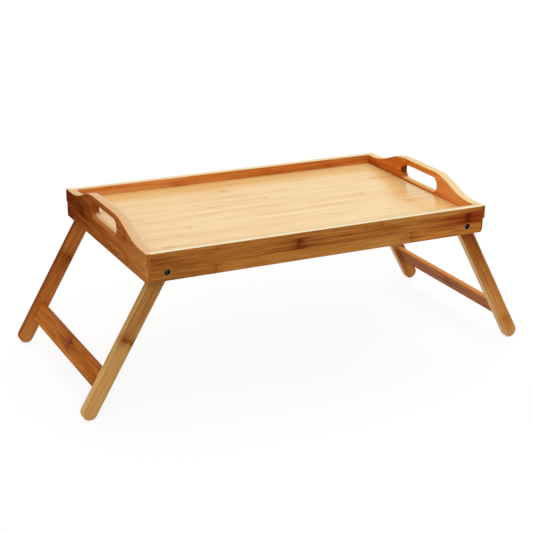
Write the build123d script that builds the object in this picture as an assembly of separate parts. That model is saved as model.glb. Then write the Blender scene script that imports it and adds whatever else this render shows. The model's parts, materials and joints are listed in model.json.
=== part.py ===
from build123d import *
import math
import os

# Folding bed tray: a framed panel on two folding leg frames, shown open.
# Millimetres, Z up, X along the tray, Y towards the back, floor at Z 0.

# Tray frame
tray_length = 500.0
tray_width = 300.0
rail_height = 38.0
rail_thickness = 10.5
end_thickness = 12.0
end_lip = 5.0
edge_ease = 0.8

# Raised end boards with hand slots
handle_rise = 20.5
handle_flat = 77.0
ogee_upper_radius = 90.0
ogee_lower_radius = 110.0
ogee_slope = 21.0
slot_length = 95.0
slot_height = 22.0
slot_lift = 0.5
slot_ease = 1.5
corner_radius = 4.5
corner_round_height = 20.0

# Panel, held by a thin tongue in grooves all round
panel_drop = 13.0
panel_thickness = 3.2
tongue_thickness = 2.0
tongue_reach = 4.0
groove_clearance = 0.1
panel_seam = 0.3

# Leg frames
leg_width = 20.0
leg_thickness = 10.5
leg_reach = 203.0
leg_splay = 29.5
leg_ease = 1.0
stop_clearance = 0.1
stretcher_width = 28.0
stretcher_thickness = 7.0
stretcher_ease = 2.0
stretcher_end_ease = 0.6
stretcher_reach = 162.5

# Blind dowels in the stretcher ends
dowel_diameter = 4.0
dowel_pitch = 14.0
dowel_in_leg = 7.0
dowel_in_stretcher = 12.0
dowel_chamfer = 0.5
dowel_hole_spare = 0.5

# Pivots
pivot_inset = 27.4
pivot_height = 11.3
bolt_diameter = 5.0
bolt_head_diameter = 8.5
bolt_head_height = 5.0
bolt_head_recess = 0.3
bolt_head_ease = 0.4
bolt_end_chamfer = 0.6
bolt_overrun = 1.5
socket_width = 4.0
socket_depth = 2.5
head_clearance = 0.25
bore_clearance = 0.05
washer_diameter = 10.0
washer_thickness = 1.0
washer_clearance = 0.15
side_clearance = 0.1
nut_width = 8.0
nut_height = 3.4
nut_collar_diameter = 7.4
nut_collar_height = 1.6
nut_collar_ease = 0.5

# Levels and faces that follow from the sizes above
splay = math.radians(leg_splay)
slope = math.radians(ogee_slope)
pivot_z = leg_reach * math.cos(splay) + leg_width / 2
rail_bottom = pivot_z - pivot_height
rail_top = rail_bottom + rail_height
pivot_x = tray_length / 2 - pivot_inset
panel_top = rail_top - panel_drop
panel_bottom = panel_top - panel_thickness
end_outer = tray_length / 2
end_inner = end_outer - end_thickness
rail_end = end_outer - end_lip
rail_outer = tray_width / 2
rail_inner = rail_outer - rail_thickness
washer_inner = rail_inner - washer_thickness
leg_outer = washer_inner - side_clearance
leg_inner = leg_outer - leg_thickness
nut_washer_outer = leg_inner - side_clearance
nut_outer = nut_washer_outer - washer_thickness
nut_inner = nut_outer - nut_height - nut_collar_height
head_outer = rail_outer - bolt_head_recess
head_inner = head_outer - bolt_head_height


def block(x_span, y_span, z_span):
    """A square block between two values on each axis."""
    sizes = [abs(high - low) for low, high in (x_span, y_span, z_span)]
    middle = [(high + low) / 2 for low, high in (x_span, y_span, z_span)]
    return Pos(*middle) * Box(*sizes)


def rod(diameter, y_span, x=0.0, z=0.0):
    """A round bar along Y between two values."""
    low, high = sorted(y_span)
    return Pos(x, (low + high) / 2, z) * Rot(90, 0, 0) * Cylinder(diameter / 2, high - low)


def hexagon(width, y_span, x=0.0, z=0.0):
    """A six-sided bar along Y, measured across its flats."""
    low, high = sorted(y_span)
    outline = RegularPolygon(width / 2, 6, major_radius=False)
    return Pos(x, high, z) * extrude(Plane.XZ * outline, high - low)


def panel():
    """The panel: a full board with a thinner tongue round its lower edge."""
    half_x = end_inner - panel_seam
    half_y = rail_inner - panel_seam
    tongue_x = end_inner + tongue_reach
    tongue_y = rail_inner + tongue_reach
    tongue_top = panel_bottom + tongue_thickness
    board = block((-half_x, half_x), (-half_y, half_y), (panel_bottom, panel_top))
    return board + block((-tongue_x, tongue_x), (-tongue_y, tongue_y), (panel_bottom, tongue_top))


def panel_groove():
    """The room the panel tongue needs, with its clearance."""
    half_x = end_inner + tongue_reach + groove_clearance
    half_y = rail_inner + tongue_reach + groove_clearance
    low = panel_bottom - groove_clearance
    high = panel_bottom + tongue_thickness + groove_clearance
    return block((-half_x, half_x), (-half_y, half_y), (low, high))


def rail():
    """The rear rail, with a panel groove and a stepped bolt hole near each end."""
    bar = block((-rail_end, rail_end), (rail_inner, rail_outer), (rail_bottom, rail_top))
    bar = fillet(bar.edges().filter_by(Axis.X), edge_ease)
    bar -= panel_groove()
    for x in (-pivot_x, pivot_x):
        bar -= rod(bolt_diameter, (rail_inner, rail_outer), x, pivot_z)
        bar -= rod(bolt_head_diameter + 2 * head_clearance, (head_inner, rail_outer), x, pivot_z)
    return bar


def end_outline():
    """The upright outline of an end board, in Y and Z."""
    top = rail_top + handle_rise
    flat = handle_flat / 2
    bend = 1 - math.cos(slope)
    ramp_drop = handle_rise - (ogee_upper_radius + ogee_lower_radius) * bend
    upper_y = flat + ogee_upper_radius * math.sin(slope)
    upper_z = top - ogee_upper_radius * bend
    lower_y = upper_y + ramp_drop / math.tan(slope)
    lower_z = rail_top + ogee_lower_radius * bend
    foot_y = lower_y + ogee_lower_radius * math.sin(slope)
    lines = [Line((-flat, top), (flat, top))]
    for side in (-1, 1):
        lines += [
            TangentArc((side * flat, top), (side * upper_y, upper_z), tangent=(side, 0)),
            Line((side * upper_y, upper_z), (side * lower_y, lower_z)),
            TangentArc((side * foot_y, rail_top), (side * lower_y, lower_z), tangent=(-side, 0)),
            Line((side * foot_y, rail_top), (side * rail_outer, rail_top)),
            Line((side * rail_outer, rail_top), (side * rail_outer, rail_bottom)),
        ]
    lines.append(Line((-rail_outer, rail_bottom), (rail_outer, rail_bottom)))
    return make_face(lines)


def stop_bevel():
    """The wedge taken off the lower inner edge where the open legs come to rest."""
    reach = leg_width / 2 + stop_clearance
    bevel_top = pivot_z + (reach - (end_inner - pivot_x) * math.cos(splay)) / math.sin(splay)
    bevel_x = pivot_x + (reach + pivot_height * math.sin(splay)) / math.cos(splay)
    corners = [(end_inner, bevel_top), (bevel_x, rail_bottom), (end_inner, rail_bottom)]
    outline = make_face(Polyline(*corners, close=True))
    return Pos(0, rail_outer, 0) * extrude(Plane.XZ * outline, tray_width)


def corner_waste():
    """The wood taken off a lower outer corner of an end board to round it like a ball."""
    core_x = end_outer - corner_radius
    core_y = rail_outer - corner_radius
    ball_z = rail_bottom + corner_radius
    top_z = rail_bottom + corner_round_height
    waste = block((core_x, end_outer), (core_y, rail_outer), (rail_bottom, top_z))
    upright = Cylinder(corner_radius, top_z - ball_z, align=(Align.CENTER, Align.CENTER, Align.MIN))
    waste -= Pos(core_x, core_y, ball_z) * upright
    return waste - Pos(core_x, core_y, ball_z) * Sphere(corner_radius)


def end_board():
    """The right end board, with its hand slot and the rebates that take the rail ends."""
    board = Pos(end_inner, 0, 0) * extrude(Plane.YZ * end_outline(), end_thickness)
    crest = board.edges().filter_by(Axis.X, reverse=True)
    crest = crest.filter_by_position(Axis.Z, rail_top, rail_top + handle_rise)
    board = fillet(crest, edge_ease)
    slot_z = rail_top + slot_lift
    slot = Plane.YZ * Pos(0, slot_z) * SlotOverall(slot_length, slot_height)
    board -= Pos(end_inner, 0, 0) * extrude(slot, end_thickness)
    rims = board.edges().filter_by(Axis.X, reverse=True)
    rims = rims.filter_by_position(Axis.Z, slot_z - slot_height / 2, slot_z + slot_height / 2)
    rims = rims.filter_by_position(Axis.Y, -slot_length / 2, slot_length / 2)
    board = fillet(rims, slot_ease)
    for side in (-1, 1):
        rebate_y = (side * rail_inner, side * rail_outer)
        board -= block((end_inner, rail_end), rebate_y, (rail_bottom, rail_top))
    board -= panel_groove()
    board -= stop_bevel()
    board -= corner_waste()
    return board - mirror(corner_waste(), about=Plane.XZ)


def in_frame(shape):
    """Swing a piece drawn with its pivot at the origin out to the right leg frame, open."""
    return Pos(pivot_x, 0, pivot_z) * Rot(0, -leg_splay, 0) * shape


def dowel_levels():
    """Distances of the two dowels below the pivot, along the leg."""
    return (stretcher_reach - dowel_pitch / 2, stretcher_reach + dowel_pitch / 2)


def leg():
    """The right rear leg: a flat strip with round ends, bored for its pivot and dowels."""
    outline = Pos(0, -leg_reach / 2) * Rot(0, 0, 90) * SlotCenterToCenter(leg_reach, leg_width)
    strip = Pos(0, leg_outer, 0) * extrude(Plane.XZ * outline, leg_thickness)
    strip = fillet(strip.edges().filter_by(Axis.Y, reverse=True), leg_ease)
    strip -= rod(bolt_diameter + 2 * bore_clearance, (leg_inner, leg_outer))
    for level in dowel_levels():
        strip -= rod(dowel_diameter, (leg_inner, leg_inner + dowel_in_leg + dowel_hole_spare), 0, -level)
    return in_frame(strip)


def stretcher():
    """The flat bar between the two legs of the right frame."""
    half = stretcher_thickness / 2
    z_span = (-stretcher_reach - stretcher_width / 2, -stretcher_reach + stretcher_width / 2)
    bar = block((-half, half), (-leg_inner, leg_inner), z_span)
    bar = fillet(bar.edges().filter_by(Axis.Y), stretcher_ease)
    bar = chamfer(bar.edges().filter_by(Axis.Y, reverse=True), stretcher_end_ease)
    for level in dowel_levels():
        for side in (-1, 1):
            depth = leg_inner - dowel_in_stretcher - dowel_hole_spare
            bar -= rod(dowel_diameter, (side * depth, side * leg_inner), 0, -level)
    return in_frame(bar)


def dowel(level):
    """One right rear dowel at a distance below the pivot."""
    pin = rod(dowel_diameter, (leg_inner - dowel_in_stretcher, leg_inner + dowel_in_leg), 0, -level)
    return in_frame(chamfer(pin.edges().filter_by(GeomType.CIRCLE), dowel_chamfer))


def pivot_bolt():
    """The right rear pivot bolt: a socket head and a plain shank."""
    head = rod(bolt_head_diameter, (head_inner, head_outer), pivot_x, pivot_z)
    head = fillet(head.edges().filter_by(GeomType.CIRCLE).sort_by(Axis.Y)[-1], bolt_head_ease)
    head -= hexagon(socket_width, (head_outer - socket_depth, head_outer), pivot_x, pivot_z)
    shank = rod(bolt_diameter, (nut_inner - bolt_overrun, head_inner), pivot_x, pivot_z)
    shank = chamfer(shank.edges().filter_by(GeomType.CIRCLE).sort_by(Axis.Y)[0], bolt_end_chamfer)
    return head + shank


def washer(outer):
    """A right rear pivot washer whose outer face stands at a given Y."""
    y_span = (outer - washer_thickness, outer)
    disc = rod(washer_diameter, y_span, pivot_x, pivot_z)
    return disc - rod(bolt_diameter + 2 * washer_clearance, y_span, pivot_x, pivot_z)


def lock_nut():
    """The right rear lock nut: a hexagon with a round collar towards the tray middle."""
    collar_outer = nut_outer - nut_height
    collar = rod(nut_collar_diameter, (nut_inner, collar_outer), pivot_x, pivot_z)
    collar = fillet(collar.edges().filter_by(GeomType.CIRCLE).sort_by(Axis.Y)[0], nut_collar_ease)
    nut = hexagon(nut_width, (collar_outer, nut_outer), pivot_x, pivot_z) + collar
    return nut - rod(bolt_diameter, (nut_inner, nut_outer), pivot_x, pivot_z)


def placed(shape, end, side):
    """Mirror a right rear piece to another corner; end and side are -1 or +1."""
    if end < 0:
        shape = mirror(shape, about=Plane.YZ)
    if side < 0:
        shape = mirror(shape, about=Plane.XZ)
    return shape


ends = {"left": -1, "right": 1}
sides = {"front": -1, "rear": 1}
upper_level, lower_level = dowel_levels()

pieces = {"tray_panel": panel()}
for side_name, side in sides.items():
    pieces[f"{side_name}_rail"] = placed(rail(), 1, side)
for end_name, end in ends.items():
    pieces[f"{end_name}_end_board"] = placed(end_board(), end, 1)
    pieces[f"{end_name}_stretcher"] = placed(stretcher(), end, 1)
    for side_name, side in sides.items():
        corner = f"{end_name}_{side_name}"
        pieces[f"{corner}_leg"] = placed(leg(), end, side)
        pieces[f"{corner}_upper_dowel"] = placed(dowel(upper_level), end, side)
        pieces[f"{corner}_lower_dowel"] = placed(dowel(lower_level), end, side)
        pieces[f"{corner}_pivot_bolt"] = placed(pivot_bolt(), end, side)
        pieces[f"{corner}_spacer_washer"] = placed(washer(rail_inner), end, side)
        pieces[f"{corner}_nut_washer"] = placed(washer(nut_washer_outer), end, side)
        pieces[f"{corner}_lock_nut"] = placed(lock_nut(), end, side)

os.makedirs("parts", exist_ok=True)
for name, piece in pieces.items():
    piece.label = name
    export_step(piece, f"parts/{name}.step")
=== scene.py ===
import json
from dataclasses import dataclass
from math import cos, radians, sin

import bpy
from mathutils import Matrix, Vector


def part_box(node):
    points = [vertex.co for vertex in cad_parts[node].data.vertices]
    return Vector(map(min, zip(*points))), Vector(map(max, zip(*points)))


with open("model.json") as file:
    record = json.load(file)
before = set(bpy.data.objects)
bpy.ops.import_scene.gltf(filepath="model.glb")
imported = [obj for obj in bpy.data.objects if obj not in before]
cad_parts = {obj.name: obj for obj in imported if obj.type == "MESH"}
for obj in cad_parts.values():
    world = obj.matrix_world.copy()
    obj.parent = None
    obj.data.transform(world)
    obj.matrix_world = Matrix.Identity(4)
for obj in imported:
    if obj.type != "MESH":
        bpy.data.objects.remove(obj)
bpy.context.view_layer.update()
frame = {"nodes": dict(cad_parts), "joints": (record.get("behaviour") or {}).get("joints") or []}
nodes = frame["nodes"]

# Lengths are in metres and colours are red, green, blue from 0 to 255, as they look in plain light.
MM = 0.001

# Camera: its sensor is in millimetres, and its focal length in pixels of the square picture
IMAGE_SIZE = 533
SENSOR = 36.0
FOCAL_PIXELS = 1297.65
CAMERA_AZIMUTH = radians(-27.337)
CAMERA_ELEVATION = radians(20.246)
CAMERA_ROLL = radians(1.258)
CAMERA_DISTANCE = 1831.79 * MM
CAMERA_TARGET = Vector((-8.773 * MM, 0.0, 111.866 * MM))

# Light: the sky as it lights the object and as it is seen, and two broad suns
SKY_STRENGTH = 0.55
SEEN_SKY_STRENGTH = 1.0
KEY_STRENGTH = 0.9
KEY_DIRECTION = Vector((0.45, 0.5, 1.0))
KEY_SPREAD = radians(50)
FILL_STRENGTH = 1.0
FILL_DIRECTION = Vector((-0.5, -1.0, 0.8))
FILL_SPREAD = radians(70)

# Floor: its colour as it lights the object, and the shaded colour and the glow that make it white where seen
FLOOR_HALF = 6.0
FLOOR_DROP = 0.3 * MM
FLOOR_COLOUR = (200, 200, 200)
FLOOR_SHADE = (112, 112, 112)
FLOOR_GLOW = 0.86

# Where the boards lie
RAIL_LOW, RAIL_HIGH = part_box("rear_rail")
END_LOW, END_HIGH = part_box("right_end_board")
LEG_LOW, LEG_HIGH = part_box("right_rear_leg")
PANEL_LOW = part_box("tray_panel")[0]
STRETCHER_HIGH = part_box("right_stretcher")[1]
BOLT_LOW, BOLT_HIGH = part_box("right_rear_pivot_bolt")
BOLT_RADIUS = (BOLT_HIGH.z - BOLT_LOW.z) / 2
HINGE = next(joint for joint in frame["joints"] if joint["name"] == "right_leg_fold")
SPLAY = radians(HINGE["range_deg"][1] - 90)
PIVOT = Matrix.Rotation(SPLAY, 3, "Y") @ Vector(HINGE["pos_m"])


@dataclass
class Waves:
    """Noise that is drawn out along the grain."""
    along: float  # waves in a metre along the grain
    across: float  # waves in a metre across it
    octaves: float
    roughness: float = 0.5


RAGGED_WAVES = Waves(along=60.0, across=260.0, octaves=3.0)
STREAK_WAVES = Waves(along=6.0, across=330.0, octaves=3.0, roughness=0.55)
FIBRE_WAVES = Waves(along=18.0, across=520.0, octaves=4.0, roughness=0.6)
HAIR_WAVES = Waves(along=50.0, across=1500.0, octaves=2.0)
CLOUD_WAVES = Waves(along=7.0, across=60.0, octaves=2.0)
DOT_WAVES = Waves(along=20.0, across=1300.0, octaves=2.0, roughness=0.6)

# Strips lie up to this far apart in the noise, and layers this far apart in the numbering of culms
STRIP_JUMP = 31.0
LAYER_STRIDE = 7.0

# Strips have whole numbers, and one this close to a number is the strip that is meant
SAME_STRIP = 0.5

# Distances from a glue line, knuckle, board's middle, joint or rim at which a mark starts and is full
GLUE_FADE = (0.6 * MM, 0.1 * MM)
RING_FADE = (4.5 * MM, 0.5 * MM)
HALO_FADE = (16 * MM, 1 * MM)
DUSK_FADE = (55 * MM, 0.0)
CULM_CHANGE = (-18 * MM, 18 * MM)
BOARD_ENDS = (130 * MM, 240 * MM)
SLOT_END_SHADE = (100 * MM, 60 * MM)
JOINT_FADE = (1.8 * MM, 0.6 * MM)
RIM_FADE = (1.4 * MM, 0.4 * MM)

# Knuckles: how far they stray along the grain and bend the fibres, and how they fade across a strip
RING_STRAY = 10 * MM
FIBRE_BEND = 5 * MM
RING_CENTRE = 0.3
RING_CENTRE_CHANCE = 0.4
RING_SIDE_FADE = (0.55, 0.1)
RING_LEAST = 0.35

# Number of the length of culm past the first knuckle
PAST_FIRST = 1.0

# Levels of noise between which a mark comes and goes
RING_BREAKS = (0.25, 0.6)
GLUE_BREAKS = (0.3, 0.6)
WEAR_BREAKS = (0.35, 0.65)
DOT_BREAKS = (0.35, 0.65)

# How squarely a face looks along an axis where it starts to count as this, and where it does fully
END_FACE = (0.75, 0.95)
UPPER_FACE = (0.45, 0.8)
NARROW_FACE = (0.5, 0.9)
WOOD_CORNER = (0.97, 0.8)
STEEL_CORNER = (0.95, 0.75)

# Strength of marks on the wood, of its relief and of its sheen; a bump is its depth and its strength
STREAK_SHARE = 0.7
HAIR_SHARE = 0.6
JOINT_SHADE_DEPTH = 0.6
RIM_PALING = 0.7
DOT_SHARE = 0.5
EDGE_GRAIN = ((255, 255, 255), (236, 222, 200))
FIBRE_RELIEF = 0.6
HAIR_RELIEF = 0.35
RING_RELIEF = 0.6
GLUE_RELIEF = -0.8
WOOD_BUMP = (0.12 * MM, 0.6)
SHEEN_SWING = 0.22
END_DULLNESS = 0.2

# Above this height an upward face of an end board is its upper edge, and below it the floor of its slot
EDGE_FROM = RAIL_HIGH.z - 1 * MM
EDGE_BAND = 1 * MM

# Steel: fine marks and broad patches, as waves in a metre, and how it is rubbed
FINE_WAVES = 1800.0
FINE_OCTAVES = 3.0
FINE_ROUGHNESS = 0.6
BROAD_WAVES = 300.0
BROAD_OCTAVES = 2.0
STEEL_WEAR_BREAKS = (0.4, 0.6)
STEEL_MARK_SHADE = 0.8
STEEL_SHEEN_SWING = 0.3
STEEL_BUMP = (0.03 * MM, 0.4)
SOCKET_FADE = 0.4 * MM

# Sockets of a Mix node that mixes colours
MIX_FACTOR = 0
MIX_FIRST = 6
MIX_SECOND = 7
MIX_RESULT = 2


def paint(colour):
    """A 0 to 255 colour as Blender's linear one, with full alpha."""
    channels = [value / 255 for value in colour]
    linear = [v / 12.92 if v <= 0.04045 else ((v + 0.055) / 1.055) ** 2.4 for v in channels]
    return (*linear, 1.0)


class Graph:
    """One material's nodes, made a step at a time."""

    def __init__(self, name):
        self.material = bpy.data.materials.new(name)
        self.material.use_nodes = True
        self.tree = self.material.node_tree
        self.shader = self.tree.nodes["Principled BSDF"]

    def put(self, socket, value):
        if isinstance(value, bpy.types.NodeSocket):
            self.tree.links.new(value, socket)
        else:
            socket.default_value = value

    def new(self, kind, **settings):
        node = self.tree.nodes.new("ShaderNode" + kind)
        for name, value in settings.items():
            setattr(node, name, value)
        return node

    def math(self, operation, *values):
        node = self.new("Math", operation=operation)
        for socket, value in zip(node.inputs, values):
            self.put(socket, value)
        return node.outputs[0]

    def add(self, total, value, share):
        """total + value * share"""
        return self.math("MULTIPLY_ADD", value, share, total)

    def swing(self, total, value, share):
        """total + (value - 0.5) * share, for noise that lies round 0.5"""
        return self.add(total, self.math("SUBTRACT", value, 0.5), share)

    def ease(self, value, start, full):
        """0 at start and 1 at full, smooth between them."""
        node = self.new("MapRange", interpolation_type="SMOOTHSTEP")
        self.put(node.inputs["Value"], value)
        self.put(node.inputs["From Min"], start)
        self.put(node.inputs["From Max"], full)
        return node.outputs[0]

    def join(self, x, y, z):
        node = self.new("CombineXYZ")
        for socket, value in zip(node.inputs, (x, y, z)):
            self.put(socket, value)
        return node.outputs[0]

    def split(self, vector):
        node = self.new("SeparateXYZ")
        self.put(node.inputs[0], vector)
        return list(node.outputs)

    def turned(self, vector, tilt):
        """The vector turned about Y."""
        node = self.new("Mapping")
        self.put(node.inputs["Vector"], vector)
        node.inputs["Rotation"].default_value = (0.0, tilt, 0.0)
        return node.outputs[0]

    def noise(self, vector, octaves, roughness=0.5):
        node = self.new("TexNoise")
        self.put(node.inputs["Vector"], vector)
        node.inputs["Scale"].default_value = 1.0
        node.inputs["Detail"].default_value = octaves
        node.inputs["Roughness"].default_value = roughness
        return node.outputs["Fac"]

    def scatter(self, vector):
        """Three random numbers that hold over a cell."""
        node = self.new("TexWhiteNoise", noise_dimensions="3D")
        self.put(node.inputs["Vector"], vector)
        return self.split(node.outputs["Color"])

    def ramp(self, value, colours):
        """The colours at even steps from 0 to 1."""
        node = self.new("ValToRGB")
        self.put(node.inputs["Fac"], value)
        elements = node.color_ramp.elements
        while len(elements) < len(colours):
            elements.new(0.5)
        for index, colour in enumerate(colours):
            elements[index].position = index / (len(colours) - 1)
            elements[index].color = paint(colour)
        return node.outputs["Color"]

    def mix(self, factor, first, second, blend="MIX"):
        node = self.new("Mix", data_type="RGBA", blend_type=blend)
        self.put(node.inputs[MIX_FACTOR], factor)
        self.put(node.inputs[MIX_FIRST], first)
        self.put(node.inputs[MIX_SECOND], second)
        return node.outputs[MIX_RESULT]

    def bump(self, height, distance, strength):
        node = self.new("Bump")
        node.inputs["Distance"].default_value = distance
        node.inputs["Strength"].default_value = strength
        self.put(node.inputs["Height"], height)
        self.put(self.shader.inputs["Normal"], node.outputs["Normal"])

    def from_pivot(self, place):
        """Distance from the nearer line of leg pivots, which run along Y."""
        across, _, up = HINGE["pos_m"]
        aside = self.math("SUBTRACT", self.math("ABSOLUTE", place[0]), across)
        above = self.math("SUBTRACT", place[2], up)
        return self.math("SQRT", self.add(self.math("MULTIPLY", above, above), aside, aside))

    def square_on(self, facing):
        """1 on flat faces along the axes, less where a corner is rounded."""
        turn = self.math("MAXIMUM", self.math("ABSOLUTE", facing[0]), self.math("ABSOLUTE", facing[1]))
        return self.math("MAXIMUM", turn, self.math("ABSOLUTE", facing[2]))


@dataclass
class Knuckles:
    """Where the dark rings of the culm sit along the grain."""
    first: float  # on the first strip of the first layer
    spacing: float
    strip_step: float = 0.0  # how much further along they sit on the next strip
    layer_step: float = 0.0  # how much further along they sit on the next layer
    spacing_step: float = 0.0  # how much further apart they are on the next strip


@dataclass
class Tint:
    """A tint that grows along one strip."""
    strip: float  # its number, from 0
    start: float  # where along the grain the tint starts
    full: float  # where it is full
    colour: tuple  # over 255 makes the strip paler


@dataclass
class Board:
    """How a board is glued up from strips of bamboo, and how its wood looks."""
    order: str  # axes along the grain, across the strips and through the layers
    tones: tuple  # pale, middle and dark wood
    strips: tuple  # where the strips start, and their width
    layers: tuple  # where the layers start, and their thickness
    knuckles: Knuckles
    seed: float
    tilt: float = 0.0  # turn about Y that lays the board along the axes
    tone: float = 0.4  # 0 is pale and 1 is dark
    spread: float = 0.1  # chance differences between lengths of culm
    alternate: float = 0.0  # how much darker every other strip is
    rise: float = 0.0  # how much darker the next strip is
    flank_light_and_shade: tuple = (0.0, 0.0)  # how much darker the two narrow faces are, painted shade above 0 and a painted highlight below
    grade: float = 0.0  # how much darker the next length of culm is, from that past the first knuckle
    slope: float = 0.0  # how much darker a metre further along the grain is
    ends: float = 0.0  # how much darker the board's ends are
    tints: tuple = ()  # tints of single strips
    zone: float = 0.18  # darkening round a knuckle
    drift: float = 0.3  # clouds in the tone
    figure: float = 1.0  # strength of the fibres
    knot: float = 0.4  # strength of the knuckles
    faint: float = 0.5  # share of it that even the faintest has
    luck: float = 0.9  # share of it left to chance
    bold: float = 0.0  # share of it that only every other strip has
    seam: float = 0.25  # strength of the glue lines
    worn_and_highlit: float = 0.15  # how far corners are rubbed paler; high values are a painted highlight along the arris
    joint: float = 0.0  # distance along the grain of a dark line of painted shade at a butt joint
    rim: float = 0.0  # radius of a bolt hole whose rim is painted paler
    edge: tuple = ()  # tones of the upper edges, sanded paler and with a painted highlight where they face up, inner and outer layer
    slot: tuple = ()  # tones of the floor of the hand slot, inner and outer layer, with painted shade and painted light in them
    floor: tuple = UPPER_FACE  # how far up a face of the slot looks before it counts as its floor
    cut: tuple = ()  # tones of the cut ends, the last a painted shade for the ends of the hand slot
    polish: float = 0.45  # roughness of the lacquer
    gleam: float = 0.05  # strength of its reflections


class Bamboo(Graph):
    """Bamboo strips glued into a board."""

    def __init__(self, name, board):
        super().__init__(name)
        self.board = board
        self.lay_strips()
        self.grow_knuckles()
        self.draw_fibres()
        self.colour(self.shade_knuckles(self.shade_grain(self.shade_strips())))
        self.finish()

    def lay_strips(self):
        board = self.board
        coordinates = self.new("TexCoord")
        self.place = self.split(self.turned(coordinates.outputs["Object"], board.tilt))
        self.facing = self.split(self.turned(coordinates.outputs["Normal"], board.tilt))
        self.along, self.across, through = ("xyz".index(letter) for letter in board.order)
        self.run, self.wide, self.deep = (self.place[axis] for axis in (self.along, self.across, through))
        self.outward = self.math("ABSOLUTE", self.run)
        gaps = []
        cells = []
        for value, (start, width) in ((self.wide, board.strips), (self.deep, board.layers)):
            cell = self.math("DIVIDE", self.math("SUBTRACT", value, start), width)
            gaps.append(self.math("MULTIPLY", self.math("PINGPONG", cell, 0.5), abs(width)))
            cells.append(cell)
        self.strip_place = cells[0]
        self.strip, self.layer = (self.math("FLOOR", cell) for cell in cells)
        self.odd = self.math("FLOORED_MODULO", self.strip, 2.0)
        self.chance = self.scatter(self.join(self.strip, self.layer, board.seed))
        self.glue = self.ease(self.math("MINIMUM", *gaps), *GLUE_FADE)

    def grain(self, waves, wide=None):
        """Noise drawn out along the grain, apart from that of other strips."""
        wide = self.wide if wide is None else wide
        jump = self.math("MULTIPLY", self.chance[0], STRIP_JUMP)
        place = self.join(self.add(jump, self.run, waves.along),
                          self.math("MULTIPLY", wide, waves.across),
                          self.math("MULTIPLY", self.deep, waves.across))
        return self.noise(place, waves.octaves, waves.roughness)

    def grow_knuckles(self):
        """Dark rings of the culm, at their own places on each strip."""
        knuckles = self.board.knuckles
        start = self.add(knuckles.first, self.strip, knuckles.strip_step)
        start = self.add(start, self.layer, knuckles.layer_step)
        pitch = self.add(knuckles.spacing, self.strip, knuckles.spacing_step)
        self.turns = self.math("DIVIDE", self.math("SUBTRACT", self.run, start), pitch)
        nearest = self.math("ROUND", self.turns)
        away = self.math("MULTIPLY", self.math("SUBTRACT", self.turns, nearest), pitch)
        self.length = self.math("ADD", nearest, self.ease(away, *CULM_CHANGE))
        self.ragged = self.grain(RAGGED_WAVES)
        reach = self.math("ABSOLUTE", self.swing(away, self.ragged, RING_STRAY))
        centre = self.add(RING_CENTRE, self.chance[1], RING_CENTRE_CHANCE)
        aside = self.math("ABSOLUTE", self.math("SUBTRACT", self.math("FRACT", self.strip_place), centre))
        middle = self.add(RING_LEAST, self.ease(aside, *RING_SIDE_FADE), 1 - RING_LEAST)
        self.ring = self.math("MULTIPLY", self.ease(reach, *RING_FADE), middle)
        self.halo = self.ease(reach, *HALO_FADE)
        self.dusk = self.ease(reach, *DUSK_FADE)

    def draw_fibres(self):
        """Long streaks, short fibres and hairs, bent a little round the knuckles, and broad clouds."""
        bend = self.math("MULTIPLY", self.math("SUBTRACT", self.ragged, 0.5), self.halo)
        wide = self.add(self.wide, bend, FIBRE_BEND)
        self.streak = self.grain(STREAK_WAVES, wide)
        self.fibre = self.grain(FIBRE_WAVES, wide)
        self.hair = self.grain(HAIR_WAVES, wide)
        self.cloud = self.grain(CLOUD_WAVES)

    def shade_strips(self):
        """How dark the strips are, from 0 to 1, before their grain."""
        board = self.board
        strip = self.add(self.strip, self.layer, LAYER_STRIDE)
        culm = self.join(strip, self.math("FLOOR", self.turns), board.seed)
        depth = self.swing(board.tone, self.scatter(culm)[0], board.spread)
        depth = self.add(depth, self.odd, board.alternate)
        depth = self.add(depth, self.strip, board.rise)
        # narrow faces take painted shade where darker and a painted highlight where paler
        for sign, flank in zip((-1, 1), board.flank_light_and_shade):
            narrow = self.ease(self.facing[self.across], *(sign * level for level in NARROW_FACE))
            depth = self.add(depth, narrow, flank)
        depth = self.add(depth, self.math("SUBTRACT", self.length, PAST_FIRST), board.grade)
        depth = self.add(depth, self.run, board.slope)
        return self.add(depth, self.ease(self.outward, *BOARD_ENDS), board.ends)

    def shade_grain(self, depth):
        board = self.board
        depth = self.swing(depth, self.cloud, board.drift)
        depth = self.swing(depth, self.streak, board.figure * STREAK_SHARE)
        depth = self.swing(depth, self.fibre, board.figure)
        return self.swing(depth, self.hair, board.figure * HAIR_SHARE)

    def shade_knuckles(self, depth):
        """Knuckles and glue lines are darker, and butt joints get a line of painted shade."""
        board = self.board
        force = self.add(self.add(board.faint, self.chance[2], board.luck), self.odd, board.bold)
        depth = self.add(depth, self.math("MULTIPLY", self.dusk, force), board.zone)
        halo = self.math("MULTIPLY", self.halo, self.fibre)
        spot = self.add(halo, self.ring, self.ease(self.hair, *RING_BREAKS))
        depth = self.add(depth, self.math("MULTIPLY", spot, force), board.knot)
        glue = self.math("MULTIPLY", self.glue, self.ease(self.cloud, *GLUE_BREAKS))
        depth = self.add(depth, glue, board.seam)
        # painted shade in the gap at a butt joint
        if board.joint:
            end = self.ease(self.outward, *(board.joint - before for before in JOINT_FADE))
            depth = self.add(depth, end, JOINT_SHADE_DEPTH)
        return depth

    def colour(self, depth):
        colour = self.tint_strips(self.ramp(depth, self.board.tones))
        colour = self.show_cut_ends(colour)
        if self.board.edge:
            colour = self.sand_and_highlight_edges(colour)
        self.put(self.shader.inputs["Base Color"], self.rub_and_highlight_corners(colour))

    def tint_strips(self, colour):
        for tint in self.board.tints:
            here = self.math("COMPARE", self.strip, tint.strip, SAME_STRIP)
            share = self.math("MULTIPLY", here, self.ease(self.run, tint.start, tint.full))
            colour = self.mix(share, colour, paint(tint.colour), "MULTIPLY")
        return colour

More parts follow.
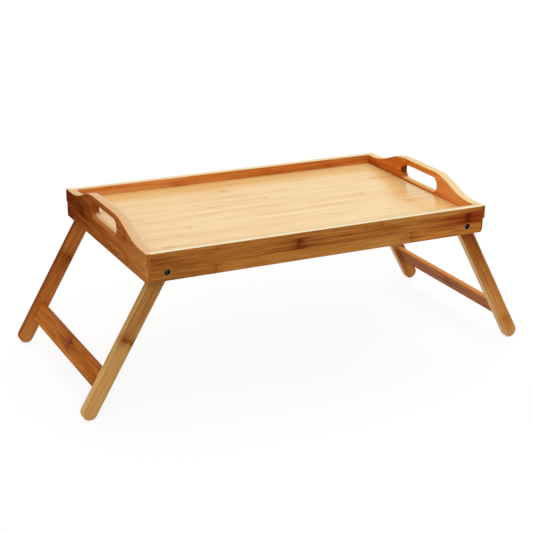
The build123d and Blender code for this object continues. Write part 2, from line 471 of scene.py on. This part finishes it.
    def show_cut_ends(self, colour):
        """Cut ends show the darker dots of the fibre bundles, and the end walls of a hand slot take painted
        shade.
        """
        board = self.board
        dots_and_slot_shade = self.ease(self.grain(DOT_WAVES), *DOT_BREAKS)
        if board.slot:
            # the end walls of the hand slot get painted shade
            dots_and_slot_shade = self.add(dots_and_slot_shade, self.ease(self.outward, *SLOT_END_SHADE), 1.0)
            dots_and_slot_shade = self.math("MULTIPLY", dots_and_slot_shade, DOT_SHARE)
        end_colour = self.ramp(dots_and_slot_shade, board.cut or board.tones[1:])
        self.end_face = self.ease(self.math("ABSOLUTE", self.facing[self.along]), *END_FACE)
        return self.mix(self.end_face, colour, end_colour)

    def sand_and_highlight_edges(self, colour):
        """Faces that look up take paler tones: upper edges sanded paler and given a painted highlight, and
        the floor of a hand slot its own tones, with painted shade and painted light in them.
        """
        board = self.board
        edge_colour = self.ramp(self.layer, board.edge)
        upward = self.ease(self.facing[2], *UPPER_FACE)
        if board.slot:
            high = self.ease(self.place[2], EDGE_FROM - EDGE_BAND, EDGE_FROM)
            edge_colour = self.mix(high, self.ramp(self.layer, board.slot), edge_colour)
            floor = self.ease(self.facing[2], *board.floor)
            upward = self.add(floor, self.math("SUBTRACT", upward, floor), high)
        grain = self.ramp(self.swing(self.fibre, self.streak, STREAK_SHARE), EDGE_GRAIN)
        edge_colour = self.mix(1.0, edge_colour, grain, "MULTIPLY")
        return self.mix(upward, colour, edge_colour)

    def rub_and_highlight_corners(self, colour):
        """Corners are rubbed paler, more strongly on the left front leg as a painted highlight along its
        arris; the rims of bolt holes are painted paler.
        """
        board = self.board
        corner = self.ease(self.square_on(self.facing), *WOOD_CORNER)
        wear_highlight_and_rim = self.math("MULTIPLY", corner, self.ease(self.cloud, *WEAR_BREAKS))
        wear_highlight_and_rim = self.math("MULTIPLY", wear_highlight_and_rim, board.worn_and_highlit)
        if board.rim:
            rim = self.ease(self.from_pivot(self.place), *(board.rim + beyond for beyond in RIM_FADE))
            wear_highlight_and_rim = self.add(wear_highlight_and_rim, rim, RIM_PALING)
        return self.mix(wear_highlight_and_rim, colour, paint(board.tones[0]))

    def finish(self):
        """Satin lacquer over the open grain."""
        sheen = self.swing(self.board.polish, self.fibre, SHEEN_SWING)
        self.put(self.shader.inputs["Roughness"], self.add(sheen, self.end_face, END_DULLNESS))
        self.shader.inputs["Specular IOR Level"].default_value = self.board.gleam
        height = self.math("MULTIPLY", self.fibre, FIBRE_RELIEF)
        height = self.add(height, self.hair, HAIR_RELIEF)
        height = self.add(height, self.ring, RING_RELIEF)
        height = self.add(height, self.glue, GLUE_RELIEF)
        self.bump(height, *WOOD_BUMP)


def steel(name, colour, worn_colour, roughness, gleam, seed, plated=False, socket=0.0, bare_glint=()):
    """Plated or black coated steel with fine marks, rubbed to bare metal at corners, and bare in a key
    socket as a painted glint.
    """
    graph = Graph(name)
    coordinates = graph.new("TexCoord")
    place = graph.split(coordinates.outputs["Object"])
    facing = graph.split(coordinates.outputs["Normal"])
    fine_place = graph.join(*[graph.add(seed, value, FINE_WAVES) for value in place])
    fine = graph.noise(fine_place, FINE_OCTAVES, FINE_ROUGHNESS)
    broad_place = graph.join(*[graph.add(seed, value, BROAD_WAVES) for value in place])
    broad = graph.noise(broad_place, BROAD_OCTAVES)
    corner = graph.ease(graph.square_on(facing), *STEEL_CORNER)
    rubbed_and_glint = graph.math("MULTIPLY", corner, graph.ease(broad, *STEEL_WEAR_BREAKS))
    # bare metal in the key socket stands in for a glint: a painted glint, stronger in the right bolts' copy
    if socket:
        inside = graph.ease(graph.from_pivot(place), socket + SOCKET_FADE, socket)
        inside = graph.math("MULTIPLY", inside, graph.ease(broad, *bare_glint))
        rubbed_and_glint = graph.math("MAXIMUM", rubbed_and_glint, inside)
    marked = [value * STEEL_MARK_SHADE for value in colour]
    base = graph.mix(fine, paint(colour), paint(marked))
    shader = graph.shader.inputs
    graph.put(shader["Base Color"], graph.mix(rubbed_and_glint, base, paint(worn_colour)))
    graph.put(shader["Roughness"], graph.swing(roughness, broad, STEEL_SHEEN_SWING))
    graph.put(shader["Metallic"], 1.0 if plated else rubbed_and_glint)
    shader["Specular IOR Level"].default_value = gleam
    graph.bump(fine, *STEEL_BUMP)
    return graph.material


def wear_material(node, material):
    mesh = nodes[node].data
    mesh.materials.clear()
    mesh.materials.append(material)


def dress(node, board):
    wear_material(node, Bamboo(node + "_bamboo", board).material)


# How far the two layers of a board reach past its faces, as a share of half its thickness
OVERHANG = 0.1


def two_layers(inner, outer):
    """Start and thickness of two layers, with both faces well inside them."""
    half = (outer - inner) / 2
    return (inner - OVERHANG * half, (1 + OVERHANG) * half)


# Panel: narrow strips in one layer, which reaches past both faces
PANEL_TONES = ((250, 216, 150), (244, 199, 122), (222, 158, 76))
PANEL_STRIP = 13 * MM
PANEL_LAYER = 10 * MM
PANEL_MARGIN = 1 * MM


def dress_panel():
    dress("tray_panel", Board(
        order="xyz", tones=PANEL_TONES, strips=(-RAIL_HIGH.y, PANEL_STRIP),
        layers=(PANEL_LOW.z - PANEL_MARGIN, PANEL_LAYER),
        knuckles=Knuckles(first=-60 * MM, spacing=430 * MM, strip_step=97 * MM), seed=3.0,
        tone=0.39, spread=0.25, slope=-0.25, zone=0.06, drift=0.9, figure=1.3, knot=0.35, faint=-0.5,
        luck=1.9, seam=0.1, polish=0.22, gleam=0.75))


# Rails and end boards: strips that lie on edge, from just below the boards, in two layers
BOARD_MARGIN = 0.3 * MM
BOARD_STRIP = 15.8 * MM
BOARD_STRIPS = (RAIL_LOW.z - BOARD_MARGIN, BOARD_STRIP)
LAYER_STEP = 60 * MM

# Rails: how the front and the rear one look
FRONT_TONES = ((206, 152, 80), (182, 114, 46), (104, 38, 8))
REAR_TONES = ((226, 154, 88), (198, 112, 42), (140, 62, 18))
# Upper edges of the rails: paler wood, with a painted highlight where they face up
RAIL_EDGE = ((246, 220, 180), (255, 248, 216))
FRONT_TINTS = (
    Tint(strip=0.0, start=120 * MM, full=140 * MM, colour=(276, 276, 262)),
    Tint(strip=1.0, start=120 * MM, full=240 * MM, colour=(240, 176, 126)),
    Tint(strip=1.0, start=-80 * MM, full=-220 * MM, colour=(240, 232, 226)),
    Tint(strip=2.0, start=190 * MM, full=245 * MM, colour=(232, 200, 160)),
)


def dress_rails():
    dress("front_rail", Board(
        order="xzy", tones=FRONT_TONES, strips=BOARD_STRIPS, layers=two_layers(-RAIL_LOW.y, -RAIL_HIGH.y),
        knuckles=Knuckles(first=-156 * MM - LAYER_STEP, spacing=286 * MM, strip_step=-1200 * MM,
                          layer_step=LAYER_STEP, spacing_step=-23 * MM),
        seed=2329.0, tone=0.5, spread=0.24, alternate=0.1, rise=-0.045, slope=-0.2, ends=0.06,
        tints=FRONT_TINTS, zone=0.17, knot=0.36, faint=0.28, luck=0.1, bold=0.5, rim=BOLT_RADIUS,
        edge=RAIL_EDGE))
    dress("rear_rail", Board(
        order="xzy", tones=REAR_TONES, strips=BOARD_STRIPS, layers=two_layers(RAIL_LOW.y, RAIL_HIGH.y),
        knuckles=Knuckles(first=40 * MM, spacing=270 * MM, strip_step=131 * MM, layer_step=LAYER_STEP,
                          spacing_step=-11 * MM),
        seed=8.0, tone=0.36, slope=0.95, zone=0.08, knot=0.2, rim=BOLT_RADIUS, edge=RAIL_EDGE))


# End boards: how the left and the right one look
END_SEED = 11.0
END_LOOKS = {
    # Upper edge paler on the inner layer as a painted reflection of its rounded edge; slot floor darker on
    # its outer half as painted shade
    "left": dict(
        tones=((214, 148, 82), (182, 102, 44), (112, 44, 12)), tone=0.58, knot=0.3,
        edge=((238, 204, 170), (242, 198, 150)), slot=((246, 212, 168), (204, 130, 68)),
        cut=((184, 114, 46), (150, 82, 30), (158, 80, 38))),
    # Slot floor painted pale to make up for the handle's shadow, a painted light
    "right": dict(
        tones=((252, 174, 98), (214, 120, 44), (160, 68, 16)), tone=0.69, rise=-0.1, floor=(0.8, 0.98),
        edge=((255, 230, 178), (255, 230, 182)), slot=((255, 194, 118), (255, 222, 164)),
        cut=((160, 86, 26), (136, 66, 18), (116, 48, 12))),
}


def dress_end_boards():
    for side, label in ((-1, "left"), (1, "right")):
        dress(label + "_end_board", Board(
            order="yzx", strips=BOARD_STRIPS, layers=two_layers(side * END_LOW.x, side * END_HIGH.x),
            knuckles=Knuckles(first=247 * MM - LAYER_STEP, spacing=330 * MM, strip_step=-162.5 * MM,
                              layer_step=LAYER_STEP),
            seed=END_SEED + side, slope=2.2, zone=0.1, gleam=0.0, **END_LOOKS[label]))


# Legs: one strip in two layers, and how far from the pivot the front layer has its knuckle
LEG_STRIP = 24 * MM
LEG_LAYER_STEP = 30 * MM
LEG_KNUCKLE_SPACING = 240 * MM
LEG_SEED = 20.0
LEG_KNUCKLES = {"left_front": 101 * MM, "left_rear": 76 * MM,
                "right_front": 178 * MM, "right_rear": 150 * MM}
# Slopes make the legs darker towards the top, partly painted shade under the tray
LEG_LOOKS = {
    "left_front": dict(
        tones=((228, 182, 116), (198, 144, 79), (136, 70, 20)), tone=0.69, slope=1.2, grade=0.1,
        flank_light_and_shade=(-0.18, -0.14), figure=0.75, knot=0.42, zone=0.02, worn_and_highlit=0.9),
    "left_rear": dict(
        tones=((222, 152, 82), (190, 115, 52), (128, 58, 20)), tone=0.42, slope=2.0, grade=-0.35,
        flank_light_and_shade=(0.3, 0.0), figure=0.8, knot=0.18, zone=0.05, gleam=0.0),
    "right_front": dict(
        tones=((250, 204, 148), (199, 133, 62), (134, 54, 4)), tone=0.75, slope=3.5, grade=-0.22,
        flank_light_and_shade=(-1.0, -0.3), figure=0.8, knot=0.12, zone=0.05),
    "right_rear": dict(
        tones=((255, 214, 160), (200, 128, 60), (130, 62, 20)), tone=0.66, slope=0.8,
        flank_light_and_shade=(-1.0, -0.2), figure=0.8, knot=0.15, zone=0.05),
}


def dress_legs():
    for number, (corner, look) in enumerate(LEG_LOOKS.items()):
        side = -1 if corner.startswith("left") else 1
        depth = -1 if corner.endswith("front") else 1
        front_layer = 1 if depth < 0 else 0
        knuckle = PIVOT.z - LEG_KNUCKLES[corner]
        dress(corner + "_leg", Board(
            order="zxy", strips=(side * PIVOT.x - LEG_STRIP / 2, LEG_STRIP),
            layers=two_layers(depth * LEG_LOW.y, depth * LEG_HIGH.y),
            knuckles=Knuckles(first=knuckle - front_layer * LEG_LAYER_STEP, spacing=LEG_KNUCKLE_SPACING,
                              layer_step=LEG_LAYER_STEP),
            seed=LEG_SEED + number, tilt=side * SPLAY, seam=0.15, **look))


# Stretchers: two strips that part below the middle, in one layer
STRETCHER_PARTING = 170 * MM
STRETCHER_STRIP = 21.5 * MM
STRETCHER_LAYER = 20 * MM
STRETCHER_SEED = 30.0
STRETCHER_LOOKS = {
    "left": dict(
        tones=((208, 130, 50), (182, 99, 26), (104, 36, 6)), alternate=-0.2),
    # Its upward face is painted paler, a painted highlight
    "right": dict(
        tones=((224, 150, 86), (192, 116, 60), (140, 66, 28)), edge=((246, 172, 98), (246, 172, 98))),
}


def dress_stretchers():
    for side, label in ((-1, "left"), (1, "right")):
        dress(label + "_stretcher", Board(
            order="yzx", strips=(PIVOT.z - STRETCHER_PARTING, STRETCHER_STRIP),
            layers=(side * PIVOT.x - STRETCHER_LAYER / 2, STRETCHER_LAYER),
            knuckles=Knuckles(first=-6.5 * MM, spacing=260 * MM, strip_step=90 * MM),
            seed=STRETCHER_SEED + side, tilt=side * SPLAY, tone=0.5, zone=0.08, knot=0.16, figure=1.4,
            joint=STRETCHER_HIGH.y, gleam=0.03, **STRETCHER_LOOKS[label]))


# Bolts, washers, nuts and dowels; sockets are bare metal out to a radius, between two levels of noise, as a
# painted glint, with the right bolts given more
GLINT_SOCKETS = {"left": dict(socket=2.2 * MM, bare_glint=(0.3, 0.8)), "right": dict(socket=1.6 * MM, bare_glint=(0.1, 0.5))}
DOWEL_TONES = ((250, 224, 176), (245, 209, 152), (226, 176, 112))
DOWEL_STRIPS = (0.0, 40 * MM)


def dress_hardware():
    black_steel = {}
    for label, socket in GLINT_SOCKETS.items():
        black_steel[label] = steel(
            label + "_black_steel", colour=(13, 12, 12), worn_colour=(150, 152, 150), roughness=0.3,
            gleam=0.08, seed=1.7, **socket)
    plated_steel = steel(
        "plated_steel", colour=(205, 204, 198), worn_colour=(228, 228, 226), roughness=0.34, gleam=0.5,
        seed=4.1, plated=True)
    dowel_wood = Bamboo("dowel_wood", Board(
        order="yxz", tones=DOWEL_TONES, strips=DOWEL_STRIPS, layers=DOWEL_STRIPS,
        knuckles=Knuckles(first=9 * MM, spacing=170 * MM, strip_step=3 * MM, layer_step=3 * MM),
        seed=41.0)).material
    for name in nodes:
        if name.endswith("_dowel"):
            wear_material(name, dowel_wood)
        elif name.endswith("_pivot_bolt"):
            wear_material(name, black_steel[name.split("_")[0]])
        elif name.endswith(("_washer", "_lock_nut")):
            wear_material(name, plated_steel)


def seen_rays(tree):
    """1 for what the eye, a mirror or a pane sees, 0 for light on the object."""
    path = tree.nodes.new("ShaderNodeLightPath")
    total = path.outputs["Is Camera Ray"]
    for name in ("Is Glossy Ray", "Is Transmission Ray"):
        node = tree.nodes.new("ShaderNodeMath")
        node.operation = "MAXIMUM"
        tree.links.new(total, node.inputs[0])
        tree.links.new(path.outputs[name], node.inputs[1])
        total = node.outputs[0]
    return total


def make_world():
    world = bpy.data.worlds.new("studio")
    bpy.context.scene.world = world
    world.use_nodes = True
    tree = world.node_tree
    background = tree.nodes["Background"]
    background.inputs["Color"].default_value = (1.0, 1.0, 1.0, 1.0)
    strength = tree.nodes.new("ShaderNodeMapRange")
    tree.links.new(seen_rays(tree), strength.inputs["Value"])
    strength.inputs["To Min"].default_value = SKY_STRENGTH
    strength.inputs["To Max"].default_value = SEEN_SKY_STRENGTH
    tree.links.new(strength.outputs[0], background.inputs["Strength"])


def floor_material():
    """White with a soft shadow where it is seen, grey as it lights the object, open from below."""
    material = bpy.data.materials.new("floor_white")
    material.use_nodes = True
    tree = material.node_tree
    tree.nodes.remove(tree.nodes["Principled BSDF"])

    def new(kind, **values):
        node = tree.nodes.new("ShaderNode" + kind)
        for name, value in values.items():
            node.inputs[name].default_value = value
        return node

    def combine(kind, *sources):
        node = new(kind)
        for socket, source in zip(node.inputs, sources):
            tree.links.new(source, socket)
        return node.outputs[0]

    plain = new("BsdfDiffuse", Color=paint(FLOOR_COLOUR)).outputs[0]
    shade = new("BsdfDiffuse", Color=paint(FLOOR_SHADE)).outputs[0]
    glow = new("Emission", Strength=FLOOR_GLOW).outputs[0]
    white = combine("AddShader", shade, glow)
    above = combine("MixShader", seen_rays(tree), plain, white)
    backfacing = new("NewGeometry").outputs["Backfacing"]
    surface = combine("MixShader", backfacing, above, new("BsdfTransparent").outputs[0])
    tree.links.new(surface, tree.nodes["Material Output"].inputs["Surface"])
    return material


def make_floor():
    mesh = bpy.data.meshes.new("floor")
    corners = ((-FLOOR_HALF, -FLOOR_HALF), (FLOOR_HALF, -FLOOR_HALF),
               (FLOOR_HALF, FLOOR_HALF), (-FLOOR_HALF, FLOOR_HALF))
    mesh.from_pydata([(x, y, -FLOOR_DROP) for x, y in corners], [], [(0, 1, 2, 3)])
    mesh.materials.append(floor_material())
    floor = bpy.data.objects.new("floor", mesh)
    bpy.context.scene.collection.objects.link(floor)


def make_sun(name, direction, strength, spread):
    lamp = bpy.data.lights.new(name, "SUN")
    lamp.energy = strength
    lamp.angle = spread
    sun = bpy.data.objects.new(name, lamp)
    sun.rotation_euler = direction.to_track_quat("Z", "Y").to_euler()
    bpy.context.scene.collection.objects.link(sun)


def make_camera():
    data = bpy.data.cameras.new("camera")
    data.sensor_width = SENSOR
    data.lens = FOCAL_PIXELS / IMAGE_SIZE * SENSOR
    camera = bpy.data.objects.new("camera", data)
    back = Vector((sin(CAMERA_AZIMUTH) * cos(CAMERA_ELEVATION),
                   -cos(CAMERA_AZIMUTH) * cos(CAMERA_ELEVATION),
                   sin(CAMERA_ELEVATION)))
    right = Vector((0.0, 0.0, 1.0)).cross(back).normalized()
    up = back.cross(right)
    rolled_right = cos(CAMERA_ROLL) * right + sin(CAMERA_ROLL) * up
    rolled_up = cos(CAMERA_ROLL) * up - sin(CAMERA_ROLL) * right
    turn = Matrix((rolled_right, rolled_up, back)).transposed().to_4x4()
    camera.matrix_world = Matrix.Translation(CAMERA_TARGET + CAMERA_DISTANCE * back) @ turn
    bpy.context.scene.collection.objects.link(camera)
    bpy.context.scene.camera = camera


dress_panel()
dress_rails()
dress_end_boards()
dress_legs()
dress_stretchers()
dress_hardware()
make_world()
make_floor()
make_sun("key", KEY_DIRECTION, KEY_STRENGTH, KEY_SPREAD)
make_sun("fill", FILL_DIRECTION, FILL_STRENGTH, FILL_SPREAD)
make_camera()
bpy.context.scene.view_settings.view_transform = "Standard"
